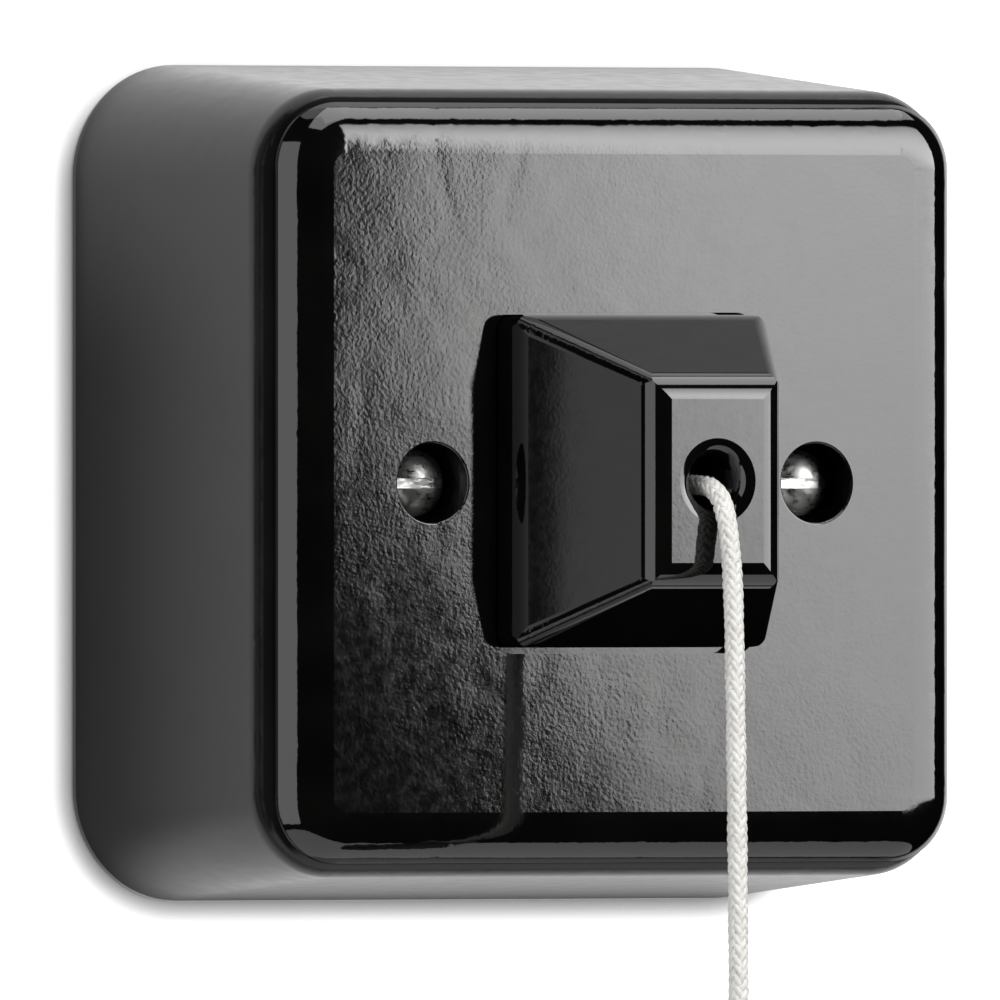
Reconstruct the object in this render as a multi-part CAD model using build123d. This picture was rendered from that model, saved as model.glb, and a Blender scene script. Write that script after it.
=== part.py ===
from build123d import *
import os
from math import asin, cos, pi, radians, sin, sqrt, tan

# Surface-mounted pull cord switch. Millimetres.
# The origin is the centre of the wall face, +Y points into the wall, +Z up, and the front faces -Y.
# Depths are distances from the wall, so a point at depth d has y = -d.

# Surface box
box_width = 88.4
box_depth = 38.0
box_draft_deg = 4.5
box_wall = 3.2
box_back_corner = 12.0
box_front_corner = 9.0
box_front_round = 3.5
box_ledge = 2.5

# Cover plate
plate_width = 80.0
plate_thickness = 3.0
plate_corner = 7.0
plate_edge_width = 5.4
plate_edge_slope_deg = 56.0
plate_edge_lead = 2.6
plate_edge_tail = 2.4
plate_edge_land = 0.45
plate_overlap = 4.0
plate_lip_wall = 2.2
plate_screw_spacing = 45.8
screw_well_diameter = 8.3
screw_well_wall = 1.0
screw_well_depth = 5.2
screw_well_edge_round = 0.25

# Cord spout
spout_width = 30.0
spout_height = 35.0
spout_plinth = 3.6
spout_projection = 20.6
spout_front_width = 14.8
spout_front_height = 21.2
spout_corner = 1.7
spout_front_corner = 1.2
spout_edge_round = 3.0
spout_plinth_round = 8.0
spout_wall = 2.2
spout_lift = 0.2
spout_gap = 0.45
spout_flange = 2.0
spout_flange_thickness = 2.0
mouth_diameter = 5.6
mouth_round = 1.7
mouth_wall = 1.5
mouth_guide_length = 7.0

# Back plate
back_plate_thickness = 3.0
back_plate_corner = 8.3
column_spacing = 62.0
column_diameter = 9.0
wall_screw_spacing = 60.0
wall_screw_diameter = 4.4
wall_screw_boss = 10.0
wall_screw_boss_height = 1.5
cable_hole_diameter = 12.0
cable_hole_x = -21.0
cable_hole_z = 21.0
cable_rim = 1.6

# Support frame
frame_width = 70.0
frame_height = 52.0
frame_thickness = 1.2
frame_corner = 4.0
frame_window_width = 22.0
frame_window_height = 26.0

# Screws
thread_diameter = 3.0
plate_head_diameter = 7.0
plate_head_height = 2.6
plate_head_side = 0.9
plate_screw_length = 6.6
small_head_diameter = 5.2
small_head_height = 1.7
small_screw_length = 5.0
slot_width = 1.1
slot_depth = 1.2

# Switch base, a cradle on the back of the support frame
base_width = 30.0
base_back_depth = 8.0
base_wall = 2.5
base_ear_reach = 11.0
base_ear_height = 9.0
base_ear_thickness = 3.0
base_screw_x = 21.5
base_screw_z = -20.0
base_shoulder = 6.0
stop_width = 4.0
stop_height = 3.0

# Lever, axle and ratchet
shaft_depth = 22.0
shaft_diameter = 4.0
shaft_overhang = 2.0
clip_diameter = 8.0
clip_thickness = 0.8
clip_groove = 0.4
lever_radius = 16.0
lever_swing_deg = 45.0
lever_thickness = 2.0
lever_arm_width = 5.0
lever_hub_diameter = 9.0
lever_sleeve_diameter = 8.0
eye_tab_thickness = 1.6
eye_tab_width = 8.0
eye_tab_below = 3.4
eye_tab_above = 4.0
eye_diameter = 3.4
ratchet_teeth = 8
ratchet_tip_radius = 7.0
ratchet_root_radius = 5.5
ratchet_thickness = 2.0
pawl_pivot_radius = 10.0
pawl_hub_radius = 1.8
pawl_reach_deg = 47.5
pawl_lead_deg = 1.6
pawl_pin_radius = 1.0
pawl_pin_head_radius = 1.7
pawl_pin_head_height = 0.7
pawl_spring_thickness = 0.3
cam_width = 9.4
cam_corner = 2.0
cam_length = 6.6
cam_hub_radius = 4.0
spring_wire = 0.9
spring_turns = 3
spring_pitch = 1.4
spring_leg = 8.0
index_thickness = 0.4
index_lead_deg = 3.7
index_foot = 4.8

# Contacts and terminals
leaf_width = 4.5
leaf_thickness = 0.5
leaf_bump_radius = 0.8
contact_radius = 1.5
contact_height = 1.0
contact_reach = 5.0
fixed_rivet_height = 1.4
strip_thickness = 0.8
strip_width = 5.0
strip_length = 19.0
stud_radius = 1.8
terminal_width = 8.0
terminal_depth = 9.0
load_x = 7.0

# Cord and knob
cord_diameter = 2.15
knot_radius = 2.4
knot_flat = 2.1
knob_length = 30.0
knob_diameter = 14.5
knob_neck_diameter = 6.4
knob_bore = 2.8
knob_pocket_diameter = 6.6
knob_pocket_depth = 7.5
knob_top_z = -66.0

# Clearances
moulding_gap = 0.3
thread_gap = 0.05
running_gap = 0.05
side_gap = 0.3
cam_gap = 0.3
closed_contact_gap = 0.06
seat_gap = 0.1
terminal_gap = 2.4

# Values that follow from the sizes above
box_front_width = box_width - 2 * box_depth * tan(radians(box_draft_deg))
ledge_depth = box_depth - box_ledge
box_opening = plate_width - 2 * plate_overlap
face_depth = box_depth + plate_thickness
well_floor = face_depth - screw_well_depth
boss_back = well_floor - 2.2
frame_front = boss_back
frame_back = frame_front - frame_thickness
spout_front = face_depth + spout_projection
cord_z = spout_lift
half_swing = lever_swing_deg / 2
shaft_z = cord_z - lever_radius * cos(radians(half_swing))
shaft_radius = shaft_diameter / 2
shaft_bore = shaft_radius + running_gap
cheek_inner = base_width / 2 - base_wall
floor_front = base_back_depth + base_wall
lever_left = -lever_thickness / 2
lever_right = lever_thickness / 2
ratchet_right = lever_left - 0.4
ratchet_left = ratchet_right - ratchet_thickness
cam_left = ratchet_left - cam_length
leaf_x = (cam_left + ratchet_left) / 2 - 0.4
cam_flat_z = shaft_z - cam_width / 2
cam_lift = (cam_width / 2 - cam_corner) * (sqrt(2) - 1)
leaf_top = cam_flat_z - cam_gap - leaf_bump_radius
leaf_bottom = leaf_top - leaf_thickness
stud_depth = floor_front + stud_radius + 0.5
leaf_pivot = stud_depth + stud_radius
leaf_angle = asin(cam_lift / (shaft_depth - leaf_pivot))
contact_depth = shaft_depth + contact_reach
contact_drop = (contact_depth + contact_radius - leaf_pivot) * sin(leaf_angle)
fixed_top = leaf_bottom - contact_height - contact_drop - closed_contact_gap
strip_bottom = fixed_top - fixed_rivet_height - strip_thickness
base_bottom = strip_bottom - base_wall
terminal_front = contact_depth + terminal_depth / 2
box_inside = box_width / 2 - box_wall - terminal_front * tan(radians(box_draft_deg))
terminal_height = box_inside + base_bottom - small_head_height - terminal_gap
terminal_bore = 0.5 * terminal_height
eye_depth = shaft_depth - lever_radius * sin(radians(half_swing))
knot_back = (knot_radius + seat_gap + eye_tab_thickness / 2) / cos(radians(half_swing))
knot_depth = eye_depth - knot_back
knob_ceiling = knob_top_z - knob_length + knob_pocket_depth
knob_knot_z = knob_ceiling - knot_radius - seat_gap
pull_travel = 2 * lever_radius * sin(radians(half_swing))
shaft_axis = Axis((0, -shaft_depth, shaft_z), (1, 0, 0))

# Cord route as (depth, z) points: knot, mouth, round the lip, then hanging
cord_route = [
    (knot_depth + knot_flat, cord_z),
    (57.5, 0.15),
    (62.0, -1.0),
    (63.9, -4.5),
    (64.9, -9.6),
    (65.4, -19.3),
    (66.35, -55.0),
    (66.35, knob_knot_z + knot_flat),
]


def slab(sketch, depth_from, depth_to):
    """Extrude a sketch drawn as (x, z) between two distances from the wall."""
    plane = Plane.XZ.offset(depth_from)
    return extrude(plane * sketch, depth_to - depth_from, dir=plane.z_dir)


def across(sketch, x_from, x_to):
    """Extrude a sketch drawn as (depth, z) between two places along X."""
    plane = Plane(origin=(x_to, 0, 0), x_dir=(0, -1, 0), z_dir=(-1, 0, 0))
    return extrude(plane * sketch, x_to - x_from, dir=plane.z_dir)


def rise(sketch, z_from, z_to):
    """Extrude a sketch drawn as (x, y) between two heights."""
    return extrude(Plane.XY.offset(z_from) * sketch, z_to - z_from)


def post(x, z, radius, depth_from, depth_to):
    """Round post along Y."""
    return slab(Pos(x, z) * Circle(radius), depth_from, depth_to)


def rounded(width, height, corner):
    """Rounded rectangle centred on the spout's or the plate's axis."""
    return RectangleRounded(width, height, corner)


def tapered(size_from, size_to, depth_from, depth_to):
    """Loft between two rounded rectangles, each given as (width, height, corner)."""
    first = Plane.XZ.offset(depth_from) * rounded(*size_from)
    last = Plane.XZ.offset(depth_to) * rounded(*size_to)
    return loft([first.face(), last.face()])


def polar(angle_deg, radius):
    """Point at an angle from straight up, turning to the front, about the shaft as (depth, z)."""
    angle = radians(angle_deg)
    return (shaft_depth + radius * sin(angle), shaft_z + radius * cos(angle))


def strip(points, thickness, bend):
    """Section of a bent leaf along a line of (depth, z) points."""
    line = FilletPolyline(*points, radius=bend)
    return make_face(offset(line, amount=thickness / 2))


def front_edges(solid, depth):
    """Edges of a solid that lie in the plane at one distance from the wall."""
    return solid.edges().filter_by_position(Axis.Y, -depth - 0.001, -depth + 0.001)


def make_surface_box():
    shell = tapered(
        (box_width, box_width, box_back_corner),
        (box_front_width, box_front_width, box_front_corner),
        0,
        box_depth,
    )
    shell = fillet(front_edges(shell, box_depth), box_front_round)
    taper = ledge_depth * tan(radians(box_draft_deg))
    inner_back = box_width - 2 * box_wall
    inner_front = inner_back - 2 * taper
    hollow = tapered(
        (inner_back, inner_back, box_back_corner - box_wall),
        (inner_front, inner_front, box_front_corner - box_wall),
        0,
        ledge_depth,
    )
    opening = slab(rounded(box_opening, box_opening, plate_corner - 2), ledge_depth, box_depth)
    return shell - hollow - opening


def make_back_plate():
    size = box_width - 2 * box_wall - 2 * moulding_gap
    taper = back_plate_thickness * tan(radians(box_draft_deg))
    plate = tapered(
        (size, size, back_plate_corner),
        (size - 2 * taper, size - 2 * taper, back_plate_corner),
        0,
        back_plate_thickness,
    )
    cable_rim_radius = cable_hole_diameter / 2 + cable_rim
    plate += post(cable_hole_x, cable_hole_z, cable_rim_radius, 0, back_plate_thickness + cable_rim)
    for side in (-1, 1):
        z = side * wall_screw_spacing / 2
        plate += post(0, z, wall_screw_boss / 2, 0, back_plate_thickness + wall_screw_boss_height)
        x = side * column_spacing / 2
        column = post(x, 0, column_diameter / 2, 0, frame_back)
        web = Pos(x, 0) * Rectangle(base_wall, 2 * column_diameter)
        plate += column + slab(web, 0, frame_back / 2)
    for side in (-1, 1):
        z = side * wall_screw_spacing / 2
        plate -= post(0, z, wall_screw_diameter / 2, 0, back_plate_thickness + wall_screw_boss_height)
        x = side * column_spacing / 2
        hole_floor = frame_back - small_screw_length
        plate -= post(x, 0, thread_diameter / 2 + thread_gap, hole_floor, frame_back)
    rim_front = back_plate_thickness + cable_rim
    plate -= post(cable_hole_x, cable_hole_z, cable_hole_diameter / 2, 0, rim_front)
    return plate


def make_cover_plate():
    plate = slab(rounded(plate_width, plate_width, plate_corner), box_depth, face_depth)
    plate -= plate_edge_cutter()
    lip_width = box_opening - 2 * moulding_gap
    lip_corner = plate_corner - 2 - moulding_gap
    lip_inner = lip_width - 2 * plate_lip_wall
    lip = rounded(lip_width, lip_width, lip_corner) - rounded(lip_inner, lip_inner, lip_corner - 1.2)
    plate += slab(lip, ledge_depth, box_depth)
    for side in (-1, 1):
        x = side * plate_screw_spacing / 2
        well_radius = screw_well_diameter / 2
        plate += post(x, 0, well_radius + screw_well_wall, boss_back, box_depth)
        plate -= post(x, 0, well_radius, well_floor, face_depth)
        plate -= post(x, 0, thread_diameter / 2 + 0.2, boss_back, well_floor)
    rims = front_edges(plate, face_depth).filter_by(GeomType.CIRCLE)
    rims = rims.filter_by(lambda edge: abs(edge.radius - screw_well_diameter / 2) < 0.01)
    plate = fillet(rims, screw_well_edge_round)
    window = rounded(
        spout_width + 2 * spout_gap, spout_height + 2 * spout_gap, spout_corner + spout_gap
    )
    return plate - slab(window, box_depth, face_depth)


def plate_edge_cutter():
    """Ring that leaves a curve along the plate's front edge, down to a short upright land."""
    edge_height = plate_thickness - plate_edge_land
    spare = 1.0
    inner = plate_width / 2 - plate_edge_width
    outside = plate_edge_width + spare
    above = edge_height + spare
    slope = radians(plate_edge_slope_deg)
    tail = (plate_edge_width - plate_edge_tail * cos(slope), plate_edge_tail * sin(slope))
    lead = (plate_edge_lead, edge_height)
    curve = Bezier((0, edge_height), lead, tail, (plate_edge_width, 0))
    frame = Polyline((plate_edge_width, 0), (outside, 0), (outside, above), (0, above), (0, edge_height))
    corner = make_face([curve, frame])
    origin = (inner, -box_depth - plate_edge_land, 0)
    section = Plane(origin=origin, x_dir=(1, 0, 0), z_dir=(0, 0, -1)) * corner
    outline = Plane.XZ.offset(face_depth) * rounded(plate_width, plate_width, plate_corner)
    return sweep(section, path=outline.wire())


def make_cord_spout():
    plinth_top = face_depth + spout_plinth
    base = (spout_width, spout_height, spout_corner)
    nose = (spout_front_width, spout_front_height, spout_front_corner)
    body = tapered(base, nose, plinth_top, spout_front)
    body += slab(rounded(*base), frame_front, plinth_top)
    side_view = spout_outline(spout_height, spout_front_height)
    plan_view = Rot(0, 0, -90) * spout_outline(spout_width, spout_front_width)
    body &= across(side_view, -spout_width, spout_width)
    body &= rise(plan_view, -spout_height, spout_height)
    flange = rounded(
        spout_width + 2 * spout_flange, spout_height + 2 * spout_flange, spout_corner + 1
    )
    body += slab(flange, box_depth - spout_flange_thickness, box_depth)
    inner_corner = 0.5
    inner_base = (spout_width - 2 * spout_wall, spout_height - 2 * spout_wall, inner_corner)
    inner_nose = (
        spout_front_width - 2 * spout_wall,
        spout_front_height - 2 * spout_wall,
        inner_corner,
    )
    inner_front = spout_front - spout_wall - 0.4
    body -= slab(rounded(*inner_base), frame_front, plinth_top)
    body -= tapered(inner_base, inner_nose, plinth_top, inner_front)
    mouth_radius = mouth_diameter / 2
    guide_back = spout_front - mouth_guide_length
    body += post(0, 0, mouth_radius + mouth_wall, guide_back, inner_front)
    body -= post(0, 0, mouth_radius, guide_back, spout_front)
    lips = front_edges(body, spout_front).filter_by(GeomType.CIRCLE)
    lips = lips.filter_by(lambda edge: abs(edge.radius - mouth_radius) < 0.01)
    body = fillet(lips, mouth_round)
    return Pos(0, 0, spout_lift) * body


def spout_outline(full, nose):
    """Outline of the spout as (depth, offset), with soft edges at the plinth and at the front."""
    plinth_top = face_depth + spout_plinth
    outline = Polygon(
        (frame_front, -full / 2),
        (plinth_top, -full / 2),
        (spout_front, -nose / 2),
        (spout_front, nose / 2),
        (plinth_top, full / 2),
        (frame_front, full / 2),
        align=None,
    )
    front = outline.vertices().filter_by(lambda corner: corner.X > plinth_top + 1)
    outline = fillet(front, spout_edge_round)
    base = outline.vertices().filter_by(lambda corner: abs(corner.X - plinth_top) < 0.01)
    return fillet(base, spout_plinth_round)


def make_support_frame():
    plate = slab(rounded(frame_width, frame_height, frame_corner), frame_back, frame_front)
    window = rounded(frame_window_width, frame_window_height, 2)
    plate -= slab(window, frame_back, frame_front)
    thread_hole = thread_diameter / 2 + thread_gap
    clear_hole = thread_diameter / 2 + 0.2
    for side in (-1, 1):
        plate -= post(side * plate_screw_spacing / 2, 0, thread_hole, frame_back, frame_front)
        plate -= post(side * column_spacing / 2, 0, clear_hole, frame_back, frame_front)
        plate -= post(side * base_screw_x, base_screw_z, clear_hole, frame_back, frame_front)
    return plate


def domed_screw(x, z, seat, head_diameter, head_height, head_side, length):
    """Slotted screw with a domed head, its head's underside at the seat's depth."""
    radius = head_diameter / 2
    rim = (radius, head_side)
    crown = (0, head_height)
    dome = dome_radius(radius, head_height - head_side)
    profile = Polyline((0, 0), (radius, 0), rim) + RadiusArc(rim, crown, -dome)
    profile += Line(crown, (0, 0))
    head = revolve(Plane.XZ * make_face(profile), Axis.Z)
    shank = Pos(0, 0, -length / 2) * Cylinder(thread_diameter / 2, length)
    slot = Pos(0, 0, head_height) * Box(head_diameter + 1, slot_width, 2 * slot_depth)
    place = Plane(origin=(x, -seat, z), x_dir=(1, 0, 0), z_dir=(0, -1, 0))
    return place * (head + shank - slot)


def dome_radius(half_chord, height):
    """Radius of the arc over a dome of a given half width and height."""
    return (half_chord**2 + height**2) / (2 * height)


def make_plate_screws():
    return [
        domed_screw(
            side * plate_screw_spacing / 2,
            0,
            well_floor,
            plate_head_diameter,
            plate_head_height,
            plate_head_side,
            plate_screw_length,
        )
        for side in (-1, 1)
    ]


def small_screw(x, z):
    """Small domed screw on the front of the support frame."""
    side_height = small_head_height / 2
    return domed_screw(
        x, z, frame_front, small_head_diameter, small_head_height, side_height, small_screw_length
    )


def make_frame_screws():
    return [small_screw(side * column_spacing / 2, 0) for side in (-1, 1)]


def make_base_screws():
    return [small_screw(side * base_screw_x, base_screw_z) for side in (-1, 1)]


def make_switch_base():
    half = base_width / 2
    floor_top = stop_top()
    cheek = Polygon(
        (base_back_depth, base_bottom),
        (frame_back, base_bottom),
        (frame_back, shaft_z + base_shoulder),
        (shaft_depth, shaft_z + base_shoulder),
        (floor_front, floor_top),
        (base_back_depth, floor_top),
        align=None,
    )
    body = across(cheek, -half, half)
    room = Polygon(
        (floor_front, strip_bottom),
        (frame_back, strip_bottom),
        (frame_back, floor_top + 1),
        (floor_front, floor_top + 1),
        align=None,
    )
    body -= across(room, -cheek_inner, cheek_inner)
    for side in (-1, 1):
        ear = Pos(side * (half + base_ear_reach / 2), base_screw_z)
        ear *= Rectangle(base_ear_reach, base_ear_height)
        body += slab(ear, frame_back - base_ear_thickness, frame_back)
    rib = Pos((floor_front + stop_front()) / 2, floor_top - stop_height / 2)
    rib *= Rectangle(stop_front() - floor_front, stop_height)
    body += across(rib, -stop_width / 2, stop_width / 2)
    body -= across(Pos(shaft_depth, shaft_z) * Circle(shaft_radius + 0.02), -half, half)
    thread_hole = thread_diameter / 2 + thread_gap
    ear_back = frame_back - base_ear_thickness
    for side in (-1, 1):
        body -= post(side * base_screw_x, base_screw_z, thread_hole, ear_back, frame_back)
    stud_hole = Circle(stud_radius + thread_gap)
    body -= rise(Pos(leaf_x, -stud_depth) * stud_hole, base_bottom, strip_bottom)
    body -= rise(Pos(load_x, -contact_depth) * stud_hole, base_bottom, strip_bottom)
    return body


def stop_top():
    """Height of the rest stop's upper face, under the cord's knot."""
    return cord_z - knot_radius - 2.4


def stop_front():
    """Depth of the rest stop's face, just behind the resting lever."""
    lean = radians(half_swing)
    back_edge = shaft_depth - (stop_top() - shaft_z) * tan(lean) - lever_arm_width / 2 / cos(lean)
    return back_edge - side_gap


def make_lever_shaft():
    reach = base_width / 2 + shaft_overhang
    centre = Pos(shaft_depth, shaft_z)
    shaft = across(centre * Circle(shaft_radius), -reach, reach)
    groove = centre * (Circle(shaft_radius) - Circle(shaft_radius - clip_groove))
    for x_from in clip_places():
        shaft -= across(groove, x_from, x_from + clip_thickness)
    return shaft


def clip_places():
    """Left side of each retaining clip, just outside the cheeks."""
    outside = base_width / 2 + seat_gap
    return (outside, -outside - clip_thickness)


def make_shaft_clips():
    inner = shaft_radius - clip_groove + 0.02
    ring = Circle(clip_diameter / 2) - Circle(inner)
    ring -= Pos(0, -clip_diameter / 2) * Rectangle(2 * inner, clip_diameter)
    section = Pos(shaft_depth, shaft_z) * ring
    return [across(section, x_from, x_from + clip_thickness) for x_from in clip_places()]


def at_rest(solid):
    """Turn what was drawn with the lever upright back to the resting lean."""
    return solid.rotate(shaft_axis, -half_swing)


def make_pull_lever():
    centre = Pos(shaft_depth, shaft_z)
    arm_length = lever_radius - eye_tab_below + 0.8
    blade = centre * Circle(lever_hub_diameter / 2)
    blade += centre * Pos(0, arm_length / 2) * Rectangle(lever_arm_width, arm_length)
    lever = across(blade, lever_left, lever_right)
    tab_height = eye_tab_below + eye_tab_above
    tab_middle = lever_radius + (eye_tab_above - eye_tab_below) / 2
    tab = centre * Pos(0, tab_middle) * Rectangle(eye_tab_thickness, tab_height)
    lever += across(tab, -eye_tab_width / 2, eye_tab_width / 2)
    top_edges = lever.edges().filter_by(Axis.Y).sort_by(Axis.Z)[-2:]
    lever = fillet(top_edges, eye_tab_width / 4)
    sleeve = centre * Circle(lever_sleeve_diameter / 2)
    lever += across(sleeve, lever_right, cheek_inner - side_gap)
    lever -= across(centre * Circle(shaft_bore), lever_left, cheek_inner - side_gap)
    eye_z = shaft_z + lever_radius
    tab_back = shaft_depth - eye_tab_thickness / 2
    lever -= post(0, eye_z, eye_diameter / 2, tab_back, tab_back + eye_tab_thickness)
    pin_hole = centre * Pos(0, pawl_pivot_radius) * Circle(pawl_pin_radius + 0.02)
    lever -= across(pin_hole, lever_left, lever_right)
    return at_rest(lever)


def make_pawl_pin():
    pivot = Pos(shaft_depth, shaft_z + pawl_pivot_radius)
    head_right = ratchet_left - side_gap
    pin = across(pivot * Circle(pawl_pin_radius), head_right, lever_right)
    pin += across(pivot * Circle(pawl_pin_head_radius), head_right - pawl_pin_head_height, head_right)
    return at_rest(pin)


def make_pawl():
    nose_deg = pawl_reach_deg - pawl_lead_deg
    pivot = polar(0, pawl_pivot_radius)
    heel = polar(6, pawl_pivot_radius + pawl_hub_radius - 0.5)
    outline = Polygon(
        polar(-6, pawl_pivot_radius - pawl_hub_radius + 0.3),
        polar(nose_deg - 31, ratchet_tip_radius + 0.22),
        polar(nose_deg - 12, ratchet_tip_radius - 0.5),
        polar(nose_deg, ratchet_root_radius + 0.33),
        polar(nose_deg, ratchet_tip_radius + 0.6),
        heel,
        align=None,
    )
    section = outline + Pos(*pivot) * Circle(pawl_hub_radius)
    section -= Pos(*pivot) * Circle(pawl_pin_radius + running_gap)
    return at_rest(across(section, ratchet_left, ratchet_right))


def make_pawl_spring():
    front = shaft_depth + eye_tab_thickness / 2 + pawl_spring_thickness / 2 + 0.02
    foot_low = shaft_z + lever_radius - eye_tab_below + 0.5
    tip = polar(27, 10.05)
    section = strip(
        [(front, foot_low + 1.5), (front, foot_low), tip], pawl_spring_thickness, 0.6
    )
    middle = (ratchet_left + ratchet_right) / 2
    return at_rest(across(section, middle - 0.6, middle + 0.6))


def make_ratchet_wheel():
    pitch = 360 / ratchet_teeth
    first_face = pawl_reach_deg - half_swing
    points = []
    for tooth in range(ratchet_teeth):
        face = first_face + tooth * pitch
        points.append(polar(face, ratchet_root_radius))
        points.append(polar(face, ratchet_tip_radius))
    points.reverse()
    wheel = across(Polygon(*points, align=None), ratchet_left, ratchet_right)
    bore = Pos(shaft_depth, shaft_z) * Circle(shaft_bore)
    return wheel - across(bore, ratchet_left, ratchet_right)


def make_contact_cam():
    centre = Pos(shaft_depth, shaft_z)
    cam = across(centre * rounded(cam_width, cam_width, cam_corner), cam_left, ratchet_left)
    hub_left = -cheek_inner + side_gap
    cam += across(centre * Circle(cam_hub_radius), hub_left, cam_left)
    return cam - across(centre * Circle(shaft_bore), hub_left, ratchet_left)


def make_return_spring():
    coil_radius = lever_sleeve_diameter / 2 + spring_wire / 2 + 0.4
    coil_length = spring_turns * spring_pitch
    coil_start = lever_right + side_gap + spring_wire
    helix = Helix(spring_pitch, coil_length, coil_radius)
    start_dir = helix % 0
    end_dir = helix % 1
    arm_leg = Line(helix @ 0 - start_dir * spring_leg, helix @ 0)
    floor_leg = Line(helix @ 1, helix @ 1 + end_dir * spring_leg)
    path = Wire([arm_leg, helix, floor_leg])
    section = Plane(origin=path @ 0, x_dir=(1, 0, 0), z_dir=path % 0)
    section *= Rectangle(spring_wire, spring_wire)
    coil = sweep(section, path=path, is_frenet=True)
    place = Plane(
        origin=(coil_start, -shaft_depth, shaft_z), x_dir=(0, 0, 1), z_dir=(1, 0, 0)
    )
    return place * coil


def make_index_spring():
    first_face = pawl_reach_deg - half_swing
    stop_face = first_face - 3 * 360 / ratchet_teeth
    tip = polar(stop_face - index_lead_deg, ratchet_root_radius + 0.9)
    foot_z = strip_bottom + index_thickness / 2
    bend = (tip[0] + 1.6, foot_z)
    section = strip([(bend[0] + index_foot, foot_z), bend, tip], index_thickness, 0.8)
    return across(section, ratchet_left + 0.1, ratchet_right - 0.1)


def make_contact_leaf():
    end = contact_depth + contact_radius + 0.5
    start = floor_front + side_gap
    body = Pos((start + end) / 2, (leaf_top + leaf_bottom) / 2)
    body *= Rectangle(end - start, leaf_thickness)
    bump = Pos(shaft_depth, leaf_top) * Circle(leaf_bump_radius)
    bump -= Pos(shaft_depth, leaf_top - leaf_bump_radius) * Rectangle(3, 2 * leaf_bump_radius)
    return across(body + bump, leaf_x - leaf_width / 2, leaf_x + leaf_width / 2)


def make_moving_contact():
    disc = Pos(leaf_x, -contact_depth) * Circle(contact_radius)
    return rise(disc, leaf_bottom - contact_height, leaf_bottom)


def make_fixed_contact():
    bar = Pos(0, -contact_depth) * Rectangle(strip_length, strip_width)
    strip_top = strip_bottom + strip_thickness
    contact = rise(bar, strip_bottom, strip_top)
    disc = Pos(leaf_x, -contact_depth) * Circle(contact_radius)
    return contact + rise(disc, strip_top, fixed_top)


def make_terminal(x, depth, stud_top):
    """Brass block under the cradle with a stud up through it, a wire bore and a screw hole."""
    block = Pos(x, -depth) * Rectangle(terminal_width, terminal_depth)
    low = base_bottom - terminal_height
    body = rise(block, low, base_bottom)
    body += rise(Pos(x, -depth) * Circle(stud_radius), base_bottom, stud_top)
    bore_z = base_bottom - terminal_height / 2 + 0.4
    body -= post(x, bore_z, terminal_bore / 2, depth - terminal_depth / 2, depth + terminal_depth / 2)
    hole = Pos(x, -depth) * Circle(thread_diameter / 2 + thread_gap)
    return body - rise(hole, low, bore_z)


def make_terminal_screws():
    screws = []
    for x, depth in ((leaf_x, stud_depth), (load_x, contact_depth)):
        low = base_bottom - terminal_height
        head = rise(Pos(x, -depth) * Circle(small_head_diameter / 2), low - small_head_height, low)
        slot = Pos(x, -depth) * Rectangle(small_head_diameter + 1, slot_width)
        head -= rise(slot, low - small_head_height, low - small_head_height + slot_depth / 2)
        shank = rise(Pos(x, -depth) * Circle(thread_diameter / 2), low, low + terminal_height / 4)
        screws.append(head + shank)
    return screws


def make_cord_knot():
    knot = Sphere(knot_radius)
    knot -= Pos(0, -knot_flat - knot_radius, 0) * Box(4 * knot_radius, 2 * knot_radius, 4 * knot_radius)
    return Pos(0, -knot_depth, cord_z) * knot


def cord_radii(points):
    """Arc at each corner of the route, from the shorter run and half the turn."""
    radii = []
    for before, corner, after in zip(points, points[1:], points[2:]):
        run_in = Vector(*corner) - Vector(*before)
        run_out = Vector(*after) - Vector(*corner)
        half_turn = radians(run_in.get_angle(run_out)) / 2
        shorter = min(run_in.length, run_out.length)
        radii.append(0.45 * shorter / tan(half_turn))
    return radii


def make_pull_cord():
    points = [(0, -depth, z) for depth, z in cord_route]
    radii = cord_radii(points)
    path = FilletPolyline(*points, radius=radii)
    section = Plane(origin=path @ 0, z_dir=path % 0) * Circle(cord_diameter / 2)
    cord = sweep(section, path=path)
    print("cord radii", [round(radius, 1) for radius in radii])
    print("cord length", round(path.length, 1))
    print("cord volume", round(cord.volume, 2), round(path.length * pi * cord_diameter**2 / 4, 2))
    return cord


def make_pull_knob():
    neck = knob_neck_diameter / 2
    belly = knob_diameter / 2
    belly_z = -knob_length * 0.66
    foot = belly * 0.62
    collar = Line((neck, -0.8), (neck, -knob_length * 0.12))
    flare = TangentArc(collar @ 1, (neck + 1.6, -knob_length * 0.4), tangent=collar % 1)
    shoulder = TangentArc(flare @ 1, (belly, belly_z), tangent=flare % 1)
    base = TangentArc(shoulder @ 1, (foot, -knob_length), tangent=shoulder % 1)
    outline = Polyline((0, 0), (neck - 0.8, 0))
    outline += RadiusArc((neck - 0.8, 0), (neck, -0.8), 0.8)
    outline += [collar, flare, shoulder, base]
    outline += Polyline((foot, -knob_length), (0, -knob_length), (0, 0))
    knob = revolve(Plane.XZ * make_face(outline), Axis.Z)
    knob -= Pos(0, 0, -knob_length / 2) * Cylinder(knob_bore / 2, knob_length)
    pocket = Cylinder(knob_pocket_diameter / 2, knob_pocket_depth)
    knob -= Pos(0, 0, -knob_length + knob_pocket_depth / 2) * pocket
    return Pos(0, -cord_route[-1][0], knob_top_z) * knob


def make_knob_knot():
    knot = Sphere(knot_radius)
    knot -= Pos(0, 0, knot_flat + knot_radius) * Box(4 * knot_radius, 4 * knot_radius, 2 * knot_radius)
    return Pos(0, -cord_route[-1][0], knob_knot_z) * knot


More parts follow.
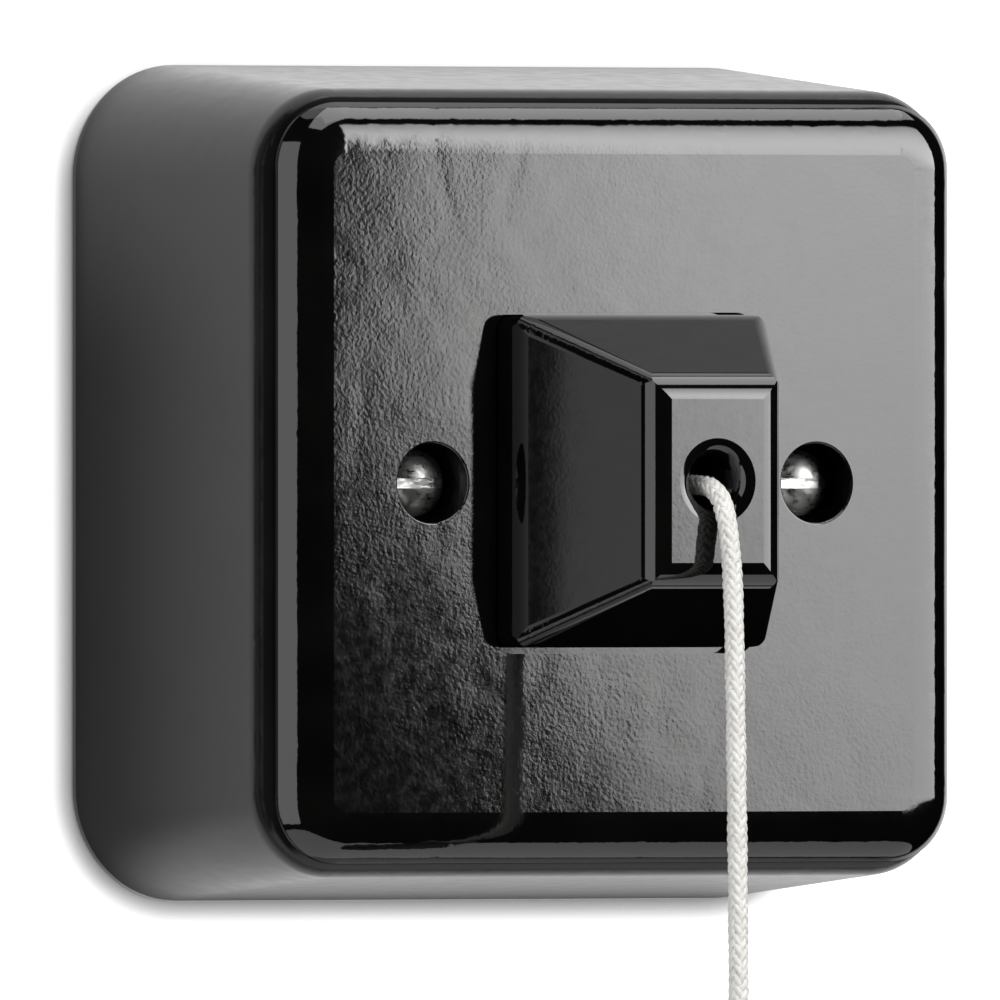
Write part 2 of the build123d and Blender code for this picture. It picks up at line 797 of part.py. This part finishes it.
def main():
    nodes = {
        "surface_box": make_surface_box(),
        "back_plate": make_back_plate(),
        "cover_plate": make_cover_plate(),
        "cord_spout": make_cord_spout(),
        "plate_screws": make_plate_screws(),
        "support_frame": make_support_frame(),
        "frame_screws": make_frame_screws(),
        "switch_base": make_switch_base(),
        "base_screws": make_base_screws(),
        "lever_shaft": make_lever_shaft(),
        "shaft_clips": make_shaft_clips(),
        "pull_lever": make_pull_lever(),
        "pawl_pin": make_pawl_pin(),
        "pawl": make_pawl(),
        "pawl_spring": make_pawl_spring(),
        "ratchet_wheel": make_ratchet_wheel(),
        "contact_cam": make_contact_cam(),
        "return_spring": make_return_spring(),
        "index_spring": make_index_spring(),
        "contact_leaf": make_contact_leaf(),
        "moving_contact": make_moving_contact(),
        "fixed_contact": make_fixed_contact(),
        "terminal_line": make_terminal(leaf_x, stud_depth, leaf_bottom),
        "terminal_load": make_terminal(load_x, contact_depth, strip_bottom),
        "terminal_screws": make_terminal_screws(),
        "cord_knot": make_cord_knot(),
        "pull_cord": make_pull_cord(),
        "pull_knob": make_pull_knob(),
        "knob_knot": make_knob_knot(),
    }
    os.makedirs("parts", exist_ok=True)
    for name, shape in nodes.items():
        solids = shape if isinstance(shape, list) else [shape]
        export_step(Compound(solids) if len(solids) > 1 else solids[0], f"parts/{name}.step")
    print("pull travel", round(pull_travel, 3), "leaf angle", round(leaf_angle, 4))
    print("shaft", -shaft_depth, round(shaft_z, 3), "leaf pivot", round(leaf_pivot, 3))


main()
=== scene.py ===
import math

import bmesh
import bpy
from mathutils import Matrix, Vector


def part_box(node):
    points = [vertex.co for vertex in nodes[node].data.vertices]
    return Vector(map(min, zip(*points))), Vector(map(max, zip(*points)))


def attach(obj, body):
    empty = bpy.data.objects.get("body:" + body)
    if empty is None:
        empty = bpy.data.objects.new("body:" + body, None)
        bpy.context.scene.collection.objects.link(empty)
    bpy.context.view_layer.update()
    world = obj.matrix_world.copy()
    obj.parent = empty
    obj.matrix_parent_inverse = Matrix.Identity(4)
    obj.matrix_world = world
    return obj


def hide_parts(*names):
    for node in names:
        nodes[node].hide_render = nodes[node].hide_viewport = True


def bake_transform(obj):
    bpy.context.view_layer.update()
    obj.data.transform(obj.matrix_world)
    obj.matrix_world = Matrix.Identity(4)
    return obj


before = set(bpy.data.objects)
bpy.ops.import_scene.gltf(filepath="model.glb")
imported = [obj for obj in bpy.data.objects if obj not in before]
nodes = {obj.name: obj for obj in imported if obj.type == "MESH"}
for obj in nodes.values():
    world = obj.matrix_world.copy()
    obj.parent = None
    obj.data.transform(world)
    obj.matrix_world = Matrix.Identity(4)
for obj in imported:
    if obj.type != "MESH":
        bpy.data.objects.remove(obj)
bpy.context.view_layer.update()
scene = bpy.context.scene
scene.view_settings.view_transform = "Standard"

MM = 0.001

# The route of the pull cord, from its knot to its knob, in metres
CORD_ROUTE = [
    (0.0, -0.0144051, 0.0002),
    (0.0, -0.0575, 0.00015),
    (0.0, -0.0620, -0.0010),
    (0.0, -0.0639, -0.0045),
    (0.0, -0.0649, -0.0096),
    (0.0, -0.0654, -0.0193),
    (0.0, -0.06635, -0.0550),
    (0.0, -0.06635, -0.0889),
]
CORD_DIAMETER = 2.15 * MM
HIDDEN_CORD = 38 * MM
KNOT_RADIUS = 2.35 * MM

# Camera: a long lens, 28 degrees to the left of the front
VIEW_DEGREES = 28
VIEW_AZIMUTH = math.radians(VIEW_DEGREES)
VIEW_DISTANCE = 4.4
VIEW_WIDTH = 105.54 * MM
VIEW_CENTRE = (6.09 * MM, -1.79 * MM)
VIEW_DEPTH = -22 * MM
SENSOR = 36

# The cover plate and the box behind it, with painted shade at their joint
PLATE_HALF = 40 * MM
PLATE_CORNER = 7 * MM
BOX_FRONT = -38 * MM

# The stage, in metres
WALL = {"left": -0.36, "right": 0.16, "low": -0.6, "high": 0.6, "y": 0.4 * MM}
SOFTBOX = {"left": -0.06, "right": 1.017, "low": -0.11, "high": 1.24}
SOFTBOX_DISTANCE = 1.4
FLAG_RADIUS = 1.8
FLAG_DEGREES = 112
FLAG_FOOT = -1.7
FLAG_TOP_RIGHT = 2.35
FLAG_TOP_LEFT = 6.0
WORLD_FILL = 0.25


def add_camera():
    data = bpy.data.cameras.new("camera")
    camera = bpy.data.objects.new("camera", data)
    scene.collection.objects.link(camera)
    look = Vector((math.sin(VIEW_AZIMUTH), math.cos(VIEW_AZIMUTH), 0))
    right = look.cross(Vector((0, 0, 1)))
    target = right * VIEW_CENTRE[0] + Vector((0, 0, VIEW_CENTRE[1])) + look * VIEW_DEPTH
    camera.location = target - look * VIEW_DISTANCE
    camera.rotation_euler = look.to_track_quat("-Z", "Y").to_euler()
    data.sensor_width = SENSOR
    data.lens = SENSOR * VIEW_DISTANCE / VIEW_WIDTH
    data.clip_start = 0.01
    data.clip_end = 50
    scene.camera = camera


class Shader:
    """A material with a principled shader and short calls for its nodes."""

    def __init__(self, name):
        self.material = bpy.data.materials.new(name)
        self.material.use_nodes = True
        self.tree = self.material.node_tree
        self.main = self.tree.nodes["Principled BSDF"]
        self.coords = self.tree.nodes.new("ShaderNodeTexCoord").outputs["Object"]

    def node(self, kind, links=None, values=None, **fields):
        made = self.tree.nodes.new(kind)
        for key, value in fields.items():
            setattr(made, key, value)
        for key, value in (values or {}).items():
            made.inputs[key].default_value = value
        for key, source in (links or {}).items():
            self.tree.links.new(source, made.inputs[key])
        return made

    def set(self, **values):
        for key, value in values.items():
            self.main.inputs[key.replace("_", " ")].default_value = value

    def link(self, name, source):
        self.tree.links.new(source, self.main.inputs[name])

    def place(self):
        """Sockets for x, y and z in the object's own frame."""
        return self.node("ShaderNodeSeparateXYZ", {"Vector": self.coords}).outputs

    def stretched(self, scale):
        made = self.node("ShaderNodeMapping", {"Vector": self.coords}, {"Scale": scale})
        return made.outputs[0]

    def noise(self, size_mm, detail=2.0, rough=0.5, coords=None):
        made = self.node(
            "ShaderNodeTexNoise",
            {"Vector": coords or self.coords},
            {"Scale": 1 / (size_mm * MM), "Detail": detail, "Roughness": rough},
        )
        return made.outputs["Fac"]

    def math(self, operation, *values):
        made = self.node("ShaderNodeMath", operation=operation)
        for socket, value in zip(made.inputs, values):
            if isinstance(value, (int, float)):
                socket.default_value = value
            else:
                self.tree.links.new(value, socket)
        return made.outputs[0]

    def product(self, first, *others):
        for other in others:
            first = self.math("MULTIPLY", first, other)
        return first

    def total(self, first, *others):
        for other in others:
            first = self.math("ADD", first, other)
        return first

    def smooth(self, source, start, stop):
        """0 before start and 1 after stop, with a soft step between them."""
        return self.node(
            "ShaderNodeMapRange",
            {"Value": source},
            {"From Min": start, "From Max": stop},
            interpolation_type="SMOOTHSTEP",
        ).outputs[0]

    def ramp(self, source, low, high, start=0.35, stop=0.65):
        return self.node(
            "ShaderNodeMapRange",
            {"Value": source},
            {"From Min": start, "From Max": stop, "To Min": low, "To Max": high},
        ).outputs[0]

    def blend(self, source, first, second, start=0.35, stop=0.65):
        made = self.node("ShaderNodeMix", data_type="RGBA")
        self.tree.links.new(self.ramp(source, 0, 1, start, stop), made.inputs[0])
        made.inputs[6].default_value = (*first, 1)
        made.inputs[7].default_value = (*second, 1)
        return made.outputs[2]

    def bump(self, source, height_mm, below=None):
        values = {"Distance": height_mm * MM, "Strength": 1.0}
        made = self.node("ShaderNodeBump", {"Height": source}, values)
        if below is not None:
            self.tree.links.new(below, made.inputs["Normal"])
        return made.outputs[0]

    def paint_gap_shade(self, mask):
        """Paint shade where the mask is 1, by taking nearly all of the gloss away there."""
        gloss, loss = 0.5, 0.48
        self.link("Specular IOR Level", self.math("SUBTRACT", gloss, self.product(mask, loss)))


def rim_shade_mask(shader):
    """Painted shade: 1 on the plate's upright rim, which has round corners, and 0 inside it.
    """
    place = shader.place()
    squares = []
    for axis in "XZ":
        aside = shader.math("ABSOLUTE", place[axis])
        past = shader.math("SUBTRACT", aside, PLATE_HALF - PLATE_CORNER)
        past = shader.math("MAXIMUM", past, 0.0)
        squares.append(shader.product(past, past))
    out = shader.math("SQRT", shader.total(*squares))
    return shader.smooth(out, PLATE_CORNER - 0.09 * MM, PLATE_CORNER - 0.03 * MM)


def joint_shade_mask(shader):
    """Painted shade: 1 on the box's front rounding beside and above the plate, and 0
    elsewhere.
    """
    place = shader.place()
    beside = shader.smooth(
        shader.math("ABSOLUTE", place["X"]), PLATE_HALF - 0.6 * MM, PLATE_HALF
    )
    front = shader.smooth(place["Y"], BOX_FRONT + 1.8 * MM, BOX_FRONT + 1.2 * MM)
    edge = shader.smooth(place["Y"], BOX_FRONT + 1.3 * MM, BOX_FRONT + 1.0 * MM)
    above = shader.smooth(place["Z"], -PLATE_HALF + 0.5 * MM, -PLATE_HALF + 2.0 * MM)
    return shader.product(shader.math("MAXIMUM", shader.product(front, beside), edge), above)


def glossy_bakelite(name, peel, wave, shaded_rim=False):
    """Polished black moulding with the folds and the orange peel that its mould leaves."""
    shader = Shader(name)
    shader.set(IOR=1.62)
    black, grey = (0.0018, 0.0018, 0.0020), (0.0034, 0.0032, 0.0030)
    shader.link("Base Color", shader.blend(shader.noise(9, 3), black, grey))
    shader.link("Roughness", shader.ramp(shader.noise(1.1, 4, 0.6), 0.04, 0.07))
    normal = shader.bump(shader.noise(10, 1.5, 0.5), 0.015 * wave)
    normal = shader.bump(shader.noise(3.2, 2, 0.45), 0.003 * peel, normal)
    fold = shader.math("ABSOLUTE", shader.math("SUBTRACT", shader.noise(15, 2, 0.4), 0.5))
    normal = shader.bump(shader.smooth(fold, 0.0, 0.09), 0.0022 * wave, normal)
    patches = shader.ramp(shader.noise(11, 1), 0.65, 1.0)
    grain = shader.product(shader.noise(0.46, 2, 0.5), patches)
    shader.link("Normal", shader.bump(grain, 0.0038 * peel, normal))
    if shaded_rim:
        # Painted shade: the plate's upright rim loses its gloss, so it stays dark like the
        # shadow gap behind it.
        shader.paint_gap_shade(rim_shade_mask(shader))
    return shader.material


def satin_bakelite(name, base, rough, joint=False):
    """Satin black moulding, with painted shade at its joint with the plate if it has one."""
    shader = Shader(name)
    shader.set(IOR=1.42)
    light = tuple(1.5 * c for c in base)
    shader.link("Base Color", shader.blend(shader.noise(12, 3), base, light))
    rougher = shader.ramp(shader.noise(2.2, 4, 0.6), rough - 0.02, rough + 0.03)
    shader.link("Roughness", rougher)
    normal = shader.bump(shader.noise(16, 1), 0.02)
    shader.link("Normal", shader.bump(shader.noise(0.6, 2), 0.0003, normal))
    if joint:
        # Painted shade: the box's front rounding beside and above the plate loses its gloss,
        # as if it lay in the shadow of the joint.
        shader.paint_gap_shade(joint_shade_mask(shader))
    return shader.material


def metal(name, base, rough, grain=(1, 1, 1), stain=0.8):
    """Plated or plain metal with fine scratches along its grain and a little tarnish."""
    shader = Shader(name)
    shader.set(Metallic=1.0)
    tarnish = tuple(stain * c for c in base)
    spots = shader.noise(1.7, 4, 0.6)
    shader.link("Base Color", shader.blend(spots, base, tarnish, 0.45, 0.75))
    scratches = shader.noise(0.35, 3, 0.6, shader.stretched(grain))
    shader.link("Roughness", shader.ramp(scratches, rough * 0.7, rough * 1.5))
    normal = shader.bump(scratches, 0.0008)
    shader.link("Normal", shader.bump(shader.noise(1.4, 2), 0.004, normal))
    return shader.material


def porcelain():
    """Cream glazed ceramic with small pits."""
    shader = Shader("porcelain")
    shader.set(IOR=1.5)
    cream, buff = (0.80, 0.77, 0.70), (0.70, 0.66, 0.57)
    shader.link("Base Color", shader.blend(shader.noise(6, 4), cream, buff))
    shader.link("Roughness", shader.ramp(shader.noise(1.5, 3), 0.12, 0.25))
    normal = shader.bump(shader.noise(3, 2), 0.02)
    shader.link("Normal", shader.bump(shader.noise(0.5, 3), 0.004, normal))
    return shader.material


def pressed_insulator():
    """Brown pressed fibre."""
    shader = Shader("pressed_insulator")
    fibres = shader.noise(0.5, 4, 0.65, shader.stretched((0.3, 1, 1)))
    shader.link("Base Color", shader.blend(fibres, (0.20, 0.09, 0.035), (0.10, 0.045, 0.02)))
    shader.link("Roughness", shader.ramp(fibres, 0.4, 0.6))
    shader.link("Normal", shader.bump(fibres, 0.01))
    return shader.material


def cotton():
    """Off-white braided yarn with fine fibres."""
    shader = Shader("cord_cotton")
    shader.set(Roughness=0.75, Sheen_Weight=0.25, Sheen_Roughness=0.4)
    fibres = shader.noise(0.09, 3, 0.6)
    clean, worn = (0.88, 0.87, 0.84), (0.80, 0.785, 0.74)
    shader.link("Base Color", shader.blend(shader.noise(1.6, 2), clean, worn))
    shader.link("Normal", shader.bump(fibres, 0.02))
    return shader.material


def give(material, *names):
    for name in names:
        slots = nodes[name].data.materials
        slots.clear()
        slots.append(material)


def mesh_piece(name, bm, material):
    data = bpy.data.meshes.new(name)
    bm.to_mesh(data)
    bm.free()
    for face in data.polygons:
        face.use_smooth = True
    data.materials.append(material)
    piece = bpy.data.objects.new(name, data)
    scene.collection.objects.link(piece)
    return piece


def spline_points(name, points, resolution):
    """Points along a smooth open NURBS line with the route as its control points."""
    data = bpy.data.curves.new(name, "CURVE")
    data.dimensions = "3D"
    data.resolution_u = resolution
    spline = data.splines.new("NURBS")
    spline.points.add(len(points) - 1)
    for point, place in zip(spline.points, points):
        point.co = (*place, 1)
    spline.order_u = 3
    spline.use_endpoint_u = True
    holder = bpy.data.objects.new(name, data)
    line = bpy.data.meshes.new_from_object(holder)
    found = [vertex.co.copy() for vertex in line.vertices]
    bpy.data.objects.remove(holder)
    bpy.data.curves.remove(data)
    bpy.data.meshes.remove(line)
    return found


class Line:
    """A line that can be read at any distance along it."""

    def __init__(self, points):
        self.points = points
        self.reach = [0.0]
        for before, after in zip(points, points[1:]):
            self.reach.append(self.reach[-1] + (after - before).length)
        self.length = self.reach[-1]
        self.spot = 0

    def at(self, distance):
        distance = min(max(distance, 0), self.length)
        while self.spot > 0 and self.reach[self.spot] > distance:
            self.spot -= 1
        while self.spot < len(self.points) - 2 and self.reach[self.spot + 1] < distance:
            self.spot += 1
        span = self.reach[self.spot + 1] - self.reach[self.spot]
        part = (distance - self.reach[self.spot]) / span
        return self.points[self.spot].lerp(self.points[self.spot + 1], part)

    def basis(self, distance, step=0.4 * MM):
        """Place, and two directions across the line, which lies in a plane of constant x."""
        ahead = (self.at(distance + step) - self.at(distance - step)).normalized()
        side = Vector((1, 0, 0))
        return self.at(distance), side, ahead.cross(side).normalized()


def oval(place, across, up, wide, high, sides):
    """Ring of points round a place."""
    turns = [2 * math.pi * s / sides for s in range(sides)]
    return [
        place + across * (wide * math.cos(turn)) + up * (high * math.sin(turn))
        for turn in turns
    ]


def add_tube(bm, rings, loop=False):
    """Skin a list of rings, with closed ends unless it is a loop."""
    made = [[bm.verts.new(point) for point in ring] for ring in rings]
    count = len(made[0])
    following = made[1:] + (made[:1] if loop else [])
    for before, after in zip(made, following):
        for i in range(count):
            j = (i + 1) % count
            bm.faces.new((before[i], before[j], after[j], after[i]))
    if not loop:
        bm.faces.new(reversed(made[0]))
        bm.faces.new(made[-1])


def braid(bm, line, start, stop, radius, carriers, lay):
    """Two sets of yarns that wind opposite ways and pass over two and under two."""
    yarn_width = 0.30 * MM
    yarn_height = 0.20 * MM
    weave = 0.10 * MM
    tightness = 2.0
    stray_angle, angle_wave, angle_phase = 0.10, 1.9 * MM, 2.4
    stray_reach, reach_wave, reach_phase = 0.3 * weave, 1.3 * MM, 1.7
    middle = radius - yarn_height - weave
    sides = 8
    steps_per_lay = 36
    step = lay / steps_per_lay
    count = int((stop - start) / step)
    for turn in (1, -1):
        slope = turn * 2 * math.pi * middle / lay
        for carrier in range(carriers):
            rings = []
            for k in range(count + 1):
                distance = start + k * step
                place, side, up = line.basis(distance)
                angle = 2 * math.pi * (carrier / carriers + turn * distance / lay)
                stray = distance / angle_wave + angle_phase * carrier + turn
                angle += stray_angle * math.sin(stray)
                crossing = math.pi * (carriers * distance / lay + carrier + turn / 4)
                reach = middle + weave * math.tanh(tightness * turn * math.cos(crossing))
                stray = distance / reach_wave + reach_phase * carrier * turn
                reach += stray_reach * math.sin(stray)
                out = side * math.cos(angle) + up * math.sin(angle)
                around = up * math.cos(angle) - side * math.sin(angle)
                along = (side.cross(up) + around * slope).normalized()
                across = along.cross(out).normalized()
                yarn = place + out * reach
                rings.append(oval(yarn, across, out, yarn_width, yarn_height, sides))
            add_tube(bm, rings)


def round_tube(bm, line, start, stop, radius, step, sides=14):
    rings = []
    count = max(2, int((stop - start) / step))
    for k in range(count + 1):
        place, side, up = line.basis(start + (stop - start) * k / count)
        rings.append(oval(place, side, up, radius, radius, sides))
    add_tube(bm, rings)


def make_cord(material):
    """Core and braid, with a plain skin in place of the braid where nobody sees it."""
    line = Line(spline_points("cord_route", CORD_ROUTE, resolution=40))
    radius = CORD_DIAMETER / 2
    core_inset, skin_inset = 0.32 * MM, 0.1 * MM
    carriers, lay, overlap = 8, 8.5 * MM, 1 * MM
    bm = bmesh.new()
    round_tube(bm, line, 0, line.length, radius - core_inset, step=1.0 * MM)
    round_tube(bm, line, 0, HIDDEN_CORD, radius - skin_inset, step=1.5 * MM)
    braid(bm, line, HIDDEN_CORD - overlap, line.length, radius, carriers, lay)
    cord = mesh_piece("braided_cord", bm, material)
    path_steps = 200
    path = [line.at(line.length * k / path_steps) for k in range(path_steps + 1)]
    return cord, path, line.length


def make_knot(name, centre, material, axis):
    """An overhand knot pulled tight, as a closed three-lobed loop of cord."""
    steps = 160
    sides = 16
    tube = 0.95 * MM
    height = 1.6
    scale = (KNOT_RADIUS - tube) / 3.0
    turn = Vector((0, 0, 1)).rotation_difference(axis)
    points = []
    for k in range(steps):
        t = 2 * math.pi * k / steps
        spot = Vector((
            math.sin(t) + 2 * math.sin(2 * t),
            math.cos(t) - 2 * math.cos(2 * t),
            -height * math.sin(3 * t),
        ))
        points.append(turn @ (spot * scale) + centre)
    rings = []
    for k in range(steps):
        ahead = (points[(k + 1) % steps] - points[k - 1]).normalized()
        across = ahead.cross(points[k] - centre).normalized()
        rings.append(oval(points[k], across, across.cross(ahead), tube, tube, sides))
    bm = bmesh.new()
    add_tube(bm, rings, loop=True)
    return mesh_piece(name, bm, material)


def stage_mesh(name, corners, faces, material):
    data = bpy.data.meshes.new(name)
    data.from_pydata(corners, [], faces)
    data.materials.append(material)
    made = bpy.data.objects.new(name, data)
    scene.collection.objects.link(made)
    return made


def upright_sheet(name, material, left, right, low, high, y=0):
    corners = [(left, y, low), (right, y, low), (right, y, high), (left, y, high)]
    return stage_mesh(name, corners, [(0, 1, 2, 3)], material)


def wall_material():
    """White board behind the object, seen from the front only, with a pale card to its left.

    To the camera it is white. Gloss and metal mirror it with a soft shadow round the object.
    """
    board_paint, card_paint, bare_paint = 0.46, 0.20, 0.04
    board_light, board_shadow, card_light = 0.80, 0.71, 0.45
    contact_reach, contact_power, least_power = 2.5 * MM, 3.0, 0.6
    board_edge, card_edge = (0.14, 0.11), (-0.213, -0.223)
    shadow_top, shadow_foot, shadow_side = (0.046, 0.008), (-0.053, -0.041), (0.080, 0.044)
    low_light, contact_top = (-0.20, -0.07), (0.046, 0.030)
    lamp_share = 0.15
    box_gap = 1.2 * MM
    shader = Shader("wall")
    shader.set(Roughness=1.0, Specular_IOR_Level=0.0, Emission_Color=(1, 1, 1, 1))
    place = shader.place()
    across, up = place["X"], place["Z"]
    aside = shader.math("ABSOLUTE", across)
    board = shader.smooth(aside, *board_edge)
    card = shader.smooth(across, *card_edge)
    paint = shader.total(shader.product(board, board_paint), shader.product(card, card_paint))
    shader.link("Base Color", shader.total(paint, bare_paint))

    # What gloss and metal mirror: a shadow beside the box, and less light far below it
    height = shader.product(shader.smooth(up, *shadow_top), shader.smooth(up, *shadow_foot))
    shadow = shader.product(shader.smooth(aside, *shadow_side), height)
    lit = shader.math("SUBTRACT", board_light, shader.product(shadow, board_shadow))
    lit = shader.product(lit, shader.smooth(up, *low_light))
    mirrored = shader.total(shader.product(board, lit), shader.product(card, card_light))

    # What the camera sees: white, less what the lamps add
    straight = shader.math("SUBTRACT", 1.0, shader.product(board, lamp_share))
    path = shader.node("ShaderNodeLightPath").outputs
    seen = shader.math("MAXIMUM", path["Is Glossy Ray"], path["Is Transmission Ray"])
    level = shader.math(
        "MAXIMUM",
        shader.product(seen, mirrored),
        shader.product(path["Is Camera Ray"], straight),
    )

    # The narrow shadow where the box meets the wall, which fades towards the top
    corner = shader.node(
        "ShaderNodeAmbientOcclusion", values={"Distance": contact_reach}, samples=8
    )
    depth = shader.product(shader.smooth(up, *contact_top), contact_power)
    contact = shader.math("POWER", corner.outputs["AO"], shader.total(depth, least_power))
    shader.link("Emission Strength", shader.product(level, contact))

    # Clear from behind, and to rays that start on the object's own back
    behind = shader.node("ShaderNodeNewGeometry").outputs["Backfacing"]
    near = shader.math("LESS_THAN", path["Ray Length"], box_gap)
    shader.link("Alpha", shader.math("SUBTRACT", 1.0, shader.math("MAXIMUM", behind, near)))
    return shader.material


def flag_material():
    """Dull black cloth of the dark studio in front of the wall."""
    shader = Shader("studio_cloth")
    shader.set(Roughness=1.0, Base_Color=(0.004, 0.004, 0.004, 1), Specular_IOR_Level=0.0)
    return shader.material


def softbox_material():
    """Light cloth, brightest a little above the object, with a slanting lower left edge."""
    edge_place, slant_from, slant = 0.0460, 0.008, 0.62
    near_share, far_share = 0.74, 0.26
    near_edge, far_edge = (-0.005, 0.003), (0.003, 0.045)
    foot_light, rise_light, fall_light = 5.1, 3.4, 4.3
    rise_span, fall_span = (-0.06, 0.20), (0.20, 1.20)
    foot_end, top_end = (SOFTBOX["low"], -0.07), (SOFTBOX["high"], 1.05)
    shader = Shader("softbox_cloth")
    shader.set(
        Base_Color=(0, 0, 0, 1),
        Roughness=1.0,
        Specular_IOR_Level=0.0,
        Emission_Color=(1, 1, 1, 1),
    )
    place = shader.place()
    right, up = place["X"], place["Z"]
    below = shader.math("MINIMUM", shader.math("SUBTRACT", up, slant_from), 0.0)
    edge = shader.total(right, edge_place, shader.product(below, slant))
    near = shader.product(shader.smooth(edge, *near_edge), near_share)
    far = shader.product(shader.smooth(edge, *far_edge), far_share)
    rise = shader.product(shader.smooth(up, *rise_span), rise_light)
    fall = shader.product(shader.smooth(up, *fall_span), fall_light)
    level = shader.total(shader.math("SUBTRACT", rise, fall), foot_light)
    ends = shader.product(shader.smooth(up, *foot_end), shader.smooth(up, *top_end))
    strength = shader.product(level, shader.total(near, far), ends)
    shader.link("Emission Strength", strength)
    return shader.material


def direction(azimuth, elevation):
    """Unit vector from the object: azimuth from the front towards the left, in degrees."""
    a, e = math.radians(azimuth), math.radians(elevation)
    return Vector((-math.sin(a) * math.cos(e), -math.cos(a) * math.cos(e), math.sin(e)))


def add_softbox():
    """Emitting panel where the flat faces mirror the camera's view."""
    panel = upright_sheet("softbox", softbox_material(), **SOFTBOX)
    panel.location = direction(-VIEW_DEGREES, 0) * SOFTBOX_DISTANCE
    panel.rotation_euler = (0, 0, VIEW_AZIMUTH)
    panel.visible_camera = False
    panel.visible_diffuse = False


def add_area(name, azimuth, elevation, distance, width, height, radiance):
    """Soft rectangular lamp that faces the object. Angles in degrees, lengths in metres."""
    data = bpy.data.lights.new(name, "AREA")
    data.shape = "RECTANGLE"
    data.size = width
    data.size_y = height
    data.energy = radiance * math.pi * width * height
    light = bpy.data.objects.new(name, data)
    scene.collection.objects.link(light)
    way = direction(azimuth, elevation)
    light.location = way * distance
    light.rotation_euler = way.to_track_quat("Z", "Y").to_euler()
    light.visible_camera = False
    return light


def add_lamps():
    """Soft lamps. The spill is the softbox's plain light, which its panel doesn't give."""
    spill = add_area("softbox_spill", -32, 16, 1.6, width=1.08, height=1.35, radiance=6.3)
    spill.visible_glossy = False
    add_area("overhead", -45, 67, 1.6, width=2.2, height=0.9, radiance=2.4)
    add_area("left_fill", 61, 0, 1.5, width=1.03, height=2.2, radiance=1.65)


def add_flag():
    """Half round of dark cloth in front, seen only in reflections."""
    bands = 40
    corners = []
    for k in range(bands + 1):
        azimuth = FLAG_DEGREES * (2 * k / bands - 1)
        foot = direction(azimuth, 0) * FLAG_RADIUS
        top = FLAG_TOP_RIGHT if azimuth < 0 else FLAG_TOP_LEFT
        corners += [(foot.x, foot.y, FLAG_FOOT), (foot.x, foot.y, top)]
    faces = [(2 * k, 2 * k + 2, 2 * k + 3, 2 * k + 1) for k in range(bands)]
    flag = stage_mesh("studio_flag", corners, faces, flag_material())
    flag.visible_camera = False
    flag.visible_diffuse = False


def add_world():
    """White to the camera and in reflections, and a low fill for the rest."""
    world = bpy.data.worlds.new("studio")
    scene.world = world
    world.use_nodes = True
    tree = world.node_tree
    ground = tree.nodes["Background"]
    ground.inputs["Color"].default_value = (1, 1, 1, 1)
    path = tree.nodes.new("ShaderNodeLightPath").outputs
    seen = path["Is Camera Ray"]
    for ray in ("Is Glossy Ray", "Is Transmission Ray"):
        either = tree.nodes.new("ShaderNodeMath")
        either.operation = "MAXIMUM"
        tree.links.new(seen, either.inputs[0])
        tree.links.new(path[ray], either.inputs[1])
        seen = either.outputs[0]
    level = tree.nodes.new("ShaderNodeMapRange")
    tree.links.new(seen, level.inputs["Value"])
    level.inputs["To Min"].default_value = WORLD_FILL
    level.inputs["To Max"].default_value = 1.0
    tree.links.new(level.outputs[0], ground.inputs["Strength"])


def add_stage():
    upright_sheet("wall", wall_material(), **WALL)
    add_softbox()
    add_lamps()
    add_flag()
    add_world()


def dress_solids():
    along = (0.3, 1, 1)
    # The plate gets painted shade on its upright rim.
    plate_black = glossy_bakelite("plate_bakelite", peel=1.0, wave=1.0, shaded_rim=True)
    spout_black = glossy_bakelite("spout_bakelite", peel=0.5, wave=0.4)
    knob_black = glossy_bakelite("knob_bakelite", peel=0.35, wave=0.5)
    # The box gets painted shade where it meets the plate.
    box_black = satin_bakelite("box_bakelite", (0.0045, 0.0045, 0.0048), 0.23, joint=True)
    back_black = satin_bakelite("back_bakelite", (0.020, 0.019, 0.018), 0.50)
    nickel = metal("nickel_plate", (0.79, 0.78, 0.76), 0.36, along)
    zinc = metal("zinc_plate", (0.58, 0.60, 0.60), 0.32)
    steel = metal("turned_steel", (0.56, 0.56, 0.56), 0.24, (0.15, 1, 1))
    spring = metal("spring_steel", (0.30, 0.31, 0.34), 0.3, along)
    brass = metal("brass", (0.72, 0.50, 0.20), 0.28, along, stain=0.62)
    silver = metal("silver_contact", (0.86, 0.85, 0.82), 0.2)

    give(plate_black, "cover_plate")
    give(spout_black, "cord_spout")
    give(knob_black, "pull_knob")
    give(box_black, "surface_box")
    give(back_black, "back_plate")
    give(nickel, "plate_screws", "terminal_screws")
    give(zinc, "support_frame", "frame_screws", "base_screws", "pull_lever")
    give(steel, "lever_shaft", "pawl_pin", "pawl")
    give(spring, "shaft_clips", "pawl_spring", "return_spring", "index_spring")
    give(brass, "ratchet_wheel", "contact_leaf", "fixed_contact")
    give(brass, "terminal_line", "terminal_load")
    give(silver, "moving_contact")
    give(porcelain(), "switch_base")
    give(pressed_insulator(), "contact_cam")


def tie_knot(name, solid, body, material, axis):
    """A knot in place of its plain solid, which rides a body."""
    low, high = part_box(solid)
    knot = make_knot(name, (low + high) / 2, material, axis)
    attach(knot, body)
    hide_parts(solid)
    return knot


def dress_cord():
    cord_cotton = cotton()
    cord, cord_path, cord_length = make_cord(cord_cotton)
    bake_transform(cord)
    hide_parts("pull_cord")
    tie_knot("eye_knot", "cord_knot", "lever", cord_cotton, Vector((0, 1, 0)))
    lower_knot = tie_knot(
        "end_knot", "knob_knot", "cord_and_knob", cord_cotton, Vector((0, 0, 1))
    )


add_camera()
add_stage()
dress_solids()
dress_cord()
